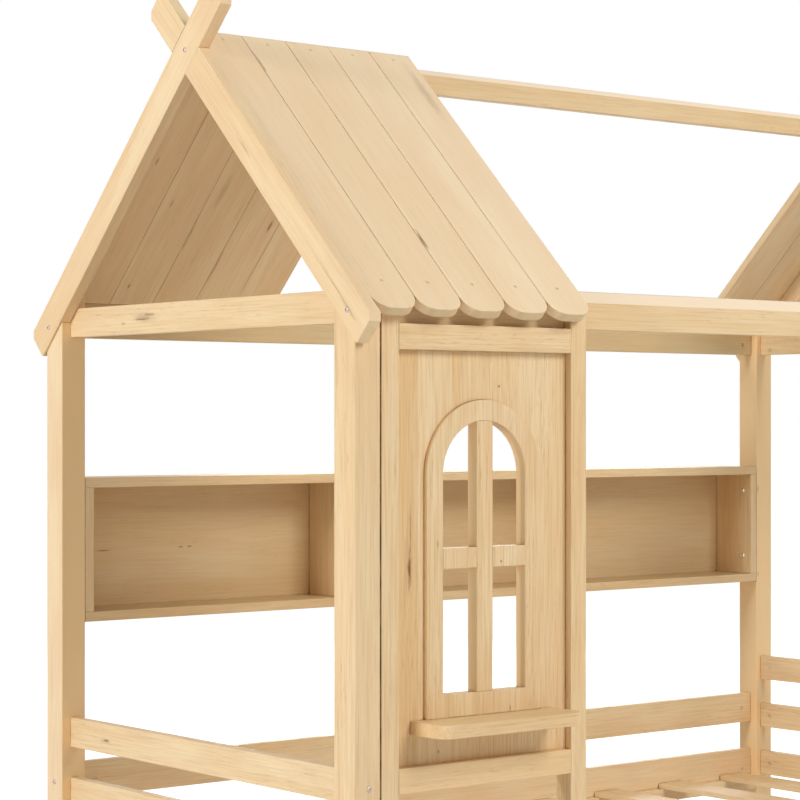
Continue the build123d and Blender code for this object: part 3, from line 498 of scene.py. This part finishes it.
# Faces painted lighter or darker than the rest of their board, as painted light and shade: where they
# look, share of another wood, that wood
FACE_LIGHT_AND_SHADE_BY_START = {
    # Painted light: the up-facing bevels of the beams are paler
    "top_beam": (UPRIGHT, 0.95, ROOF_WOOD),
    "ridge_beam": (UPRIGHT, 1.0, ROOF_WOOD),
    # Painted shade: the tops of the shelf's bottom board and of the sill are darker
    "shelf_bottom_board": (UPRIGHT, 0.55, DUSK_WOOD),
    "window_sill": (UPRIGHT, 0.35, DUSK_WOOD),
    # Painted light on faces that the lamps leave too dark, and a little painted shade on the front
    # face of the front left post
    "window_upright_bar": (-ALONG_BED, 0.9, BRIGHT_WOOD),
    "window_casing": (-ALONG_BED, 0.9, BRIGHT_WOOD),
    "post_rear_left": (-ACROSS_BED, 0.9, BRIGHT_WOOD),
    "post_front_left": (-ACROSS_BED, 0.2, WARM_WOOD),
}

# How dusky the end grain is
END_DUSK_BY_START = {"roof_plank": 0.40, "rafter_": 0.0}
PLAIN_END_DUSK = 0.2

# Distance from one board to the next in a row of boards that share a node
PITCH_BY_START = {"deck_slats": 0.213}

# The panel board's staves from left to right: right edge in X, and extra warmth
STAVES_BY_START = {
    "panel_board": ((-0.878, 0.58), (-0.8025, -0.06), (-0.746, 0.30), (-0.655, 0.25), (0.0, 0.02)),
}

# Marks that the boards show, and one painted shadow: centre, length along the grain, width and
# darkness
MARKS_BY_START = {
    "roof_plank_front_left_1": (
        ((-1.003, -0.180, 1.738), 0.024, 0.006, 0.8),
        ((-1.003, -0.212, 1.707), 0.070, 0.005, 0.4),
        ((-0.956, -0.013, 1.899), 0.010, 0.007, 0.5)),
    "roof_plank_front_left_2": (((-0.902, -0.062, 1.851), 0.100, 0.007, 0.7),),
    "roof_plank_front_left_3": (((-0.801, -0.422, 1.504), 0.085, 0.012, 0.9),),
    "roof_plank_front_left_5": (((-0.532, -0.087, 1.827), 0.260, 0.036, 0.30),),
    "roof_plank_rear_left_1": (((-0.961, 0.207, 1.686), 0.035, 0.008, 0.6),),
    "roof_plank_rear_left_2": (
        ((-0.881, 0.446, 1.457), 0.025, 0.007, 0.8),
        ((-0.881, 0.282, 1.615), 0.035, 0.006, 0.7)),
    "roof_plank_rear_left_3": (
        ((-0.802, 0.342, 1.556), 0.120, 0.007, 0.5),
        ((-0.778, 0.255, 1.641), 0.150, 0.024, 0.25)),
    "roof_plank_rear_left_4": (
        ((-0.624, 0.314, 1.583), 0.055, 0.010, 0.9),
        ((-0.702, 0.400, 1.501), 0.140, 0.007, 0.45)),
    "rafter_front_left": (
        ((-1.030, -0.198, 1.672), 0.085, 0.006, 0.55),
        ((-1.030, -0.480, 1.406), 0.230, 0.006, 0.40),
        ((-1.030, -0.512, 1.371), 0.100, 0.007, 0.35)),
    "tie_beam_left": (
        ((-1.005, 0.183, 1.381), 0.140, 0.028, 0.42),
        ((-1.005, 0.192, 1.377), 0.080, 0.008, 0.50),
        ((-1.005, 0.165, 1.386), 0.060, 0.006, 0.45),
        ((-1.005, 0.262, 1.371), 0.028, 0.010, 0.40),
        ((-1.005, 0.354, 1.391), 0.045, 0.004, 0.30)),
    "shelf_back": (
        ((-0.667, 0.5885, 0.912), 0.020, 0.006, 0.8),
        ((-0.645, 0.5885, 0.912), 0.016, 0.005, 0.8),
        ((-0.858, 0.5885, 0.910), 0.050, 0.005, 0.8)),
    "panel_board": (
        ((-0.695, -0.510, 1.243), 0.008, 0.007, 0.9),
        ((-0.800, -0.510, 1.270), 0.150, 0.004, 0.32),
        ((-0.757, -0.510, 1.280), 0.130, 0.004, 0.32),
        ((-0.898, -0.510, 0.932), 0.190, 0.034, 0.22),
        ((-0.897, -0.510, 0.921), 0.090, 0.011, 0.9),
        ((-0.895, -0.510, 0.990), 0.150, 0.006, 0.45),
        ((-0.833, -0.510, 0.603), 0.013, 0.006, 0.7)),
    "window_casing": (
        ((-0.840, -0.517, 0.965), 0.030, 0.006, 0.6),
        ((-0.675, -0.517, 0.668), 0.020, 0.005, 0.8)),
    "window_cross_bar": (((-0.696, -0.517, 0.931), 0.009, 0.009, 0.8),),
    "window_upright_bar": (((-0.752, -0.501, 1.037), 0.060, 0.007, 0.6),),
    "end_rail_left_1": (
        ((-1.005, 0.329, 0.550), 0.060, 0.010, 0.45),
        ((-1.005, 0.325, 0.552), 0.030, 0.005, 0.75)),
    # Painted shadow: a dark patch at the top of the rear left post, where a gap under the roof would
    # be in shade
    "post_rear_left": (((-0.983, 0.4645, 1.414), 0.030, 0.026, 1.0),),
    "post_rear_right": (
        ((0.977, 0.4645, 1.009), 0.034, 0.006, 0.6),
        ((0.977, 0.4645, 0.792), 0.024, 0.005, 0.6)),
}


def by_start(table, name, otherwise=None):
    """The value of the first key that the name starts with."""
    return next((table[key] for key in table if name.startswith(key)), otherwise)


def dress(name, piece, rng):
    """Give one CAD node its material."""
    metal = by_start(STEEL_BY_START, name)
    if metal:
        made = steel("steel_" + name, metal, rng)
    else:
        grain, width = by_start(GRAIN_BY_START, name)
        made = wood(
            "wood_" + name,
            (grain, width, grain.cross(width)),
            rng,
            by_start(LOOK_BY_START, name, PLAIN_LOOK),
            by_start(MARKS_BY_START, name, ()),
            by_start(STAVES_BY_START, name, ()),
            by_start(PITCH_BY_START, name, 0.0),
            by_start(FACE_LIGHT_AND_SHADE_BY_START, name),
            by_start(END_DUSK_BY_START, name, PLAIN_END_DUSK),
        )
    piece.data.materials.clear()
    piece.data.materials.append(made)


rng = random.Random(DRAW_SEED)
for node_name in sorted(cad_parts):
    dress(node_name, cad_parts[node_name], rng)


# Floor. Its own glow is weaker close to the bed, where the bed's shadow shows
FLOOR_HALF = 60.0
FLOOR_COLOR = (0.93, 0.925, 0.915)
FAR_GLOW = 0.75
NEAR_GLOW = 0.30
GLOW_SPAN = (1.3, 2.3)

# Light from all round, and the white that the camera sees behind the bed
ROOM_COLOR = (0.970, 1.0, 0.945, 1)
ROOM_LEVEL = 0.32
BACKDROP_COLOR = (1, 1, 1, 1)
BACKDROP_LEVEL = 1.0

# Where the lamps aim, and the place, side of the square, power in watts and colour of each
MIDDLE = Vector((0.0, 0.0, 1.1))
LAMPS = {
    "key": ((-9.0, 0.1, 3.4), 2.0, 412.0, (1.0, 0.975, 0.960)),
    "fill": ((0.9, -5.0, 4.4), 2.6, 200.0, (1.0, 0.975, 0.960)),
    "back": ((4.5, 6.0, 2.6), 2.6, 120.0, (1.0, 0.960, 0.960)),
}


def stage_floor():
    """A pale floor that shows white to the camera, and the bed's shadow close to the bed."""
    mesh = bpy.data.meshes.new("floor")
    corners = [(-FLOOR_HALF, -FLOOR_HALF, 0), (FLOOR_HALF, -FLOOR_HALF, 0),
               (FLOOR_HALF, FLOOR_HALF, 0), (-FLOOR_HALF, FLOOR_HALF, 0)]
    mesh.from_pydata(corners, [], [(0, 1, 2, 3)])
    floor = bpy.data.objects.new("floor", mesh)
    bpy.context.scene.collection.objects.link(floor)
    made, n = new_material("floor")
    diffuse = n.add("ShaderNodeBsdfDiffuse", [("Color", linear(FLOOR_COLOR))])
    away = n.vector("LENGTH", n.add("ShaderNodeTexCoord").outputs["Object"])
    rise = n.math("MULTIPLY", n.ramp(away, GLOW_SPAN), FAR_GLOW - NEAR_GLOW)
    level = n.math("MULTIPLY", n.seen_plainly(), n.math("ADD", NEAR_GLOW, rise))
    glow = n.add("ShaderNodeEmission", [("Strength", level)])
    both = n.add("ShaderNodeAddShader", [(0, diffuse.outputs[0]), (1, glow.outputs[0])])
    n.add("ShaderNodeOutputMaterial", [("Surface", both.outputs[0])])
    mesh.materials.append(made)


def light_world():
    """Even light from all round, and a white backdrop."""
    world = bpy.data.worlds.new("studio")
    bpy.context.scene.world = world
    world.use_nodes = True
    world.node_tree.nodes.clear()
    n = Nodes(world.node_tree)
    room = n.add("ShaderNodeBackground", [("Color", ROOM_COLOR), ("Strength", ROOM_LEVEL)])
    white = n.add("ShaderNodeBackground", [
        ("Color", BACKDROP_COLOR), ("Strength", BACKDROP_LEVEL)])
    mixed = n.add("ShaderNodeMixShader", [
        (0, n.seen_plainly()), (1, room.outputs[0]), (2, white.outputs[0])])
    n.add("ShaderNodeOutputWorld", [("Surface", mixed.outputs[0])])


def soft_light(name, place, size, power, color):
    """A large square lamp aimed at the middle of the bed."""
    lamp = bpy.data.lights.new(name, "AREA")
    lamp.shape = "SQUARE"
    lamp.size = size
    lamp.energy = power
    lamp.color = color
    holder = bpy.data.objects.new(name, lamp)
    bpy.context.scene.collection.objects.link(holder)
    holder.location = place
    holder.rotation_euler = (MIDDLE - Vector(place)).to_track_quat("-Z", "Y").to_euler()


stage_floor()
light_world()
for lamp_name, settings in LAMPS.items():
    soft_light(lamp_name, *settings)

# Camera: level, a little over a metre up, with the picture's crop in its shift
EYE = (-3.4439, -3.8024, 1.180)
HEADING = math.radians(50.116)
SENSOR = 36.0
LENS = 108.08
SHIFT = (-0.125, 0.027)
FARTHEST = 200.0

lens = bpy.data.cameras.new("camera")
lens.sensor_width = SENSOR
lens.lens = LENS
lens.shift_x, lens.shift_y = SHIFT
lens.clip_end = FARTHEST
camera = bpy.data.objects.new("camera", lens)
bpy.context.scene.collection.objects.link(camera)
camera.location = EYE
camera.rotation_euler = (math.pi / 2, 0, HEADING - math.pi / 2)
bpy.context.scene.camera = camera
bpy.context.scene.view_settings.view_transform = "Standard"
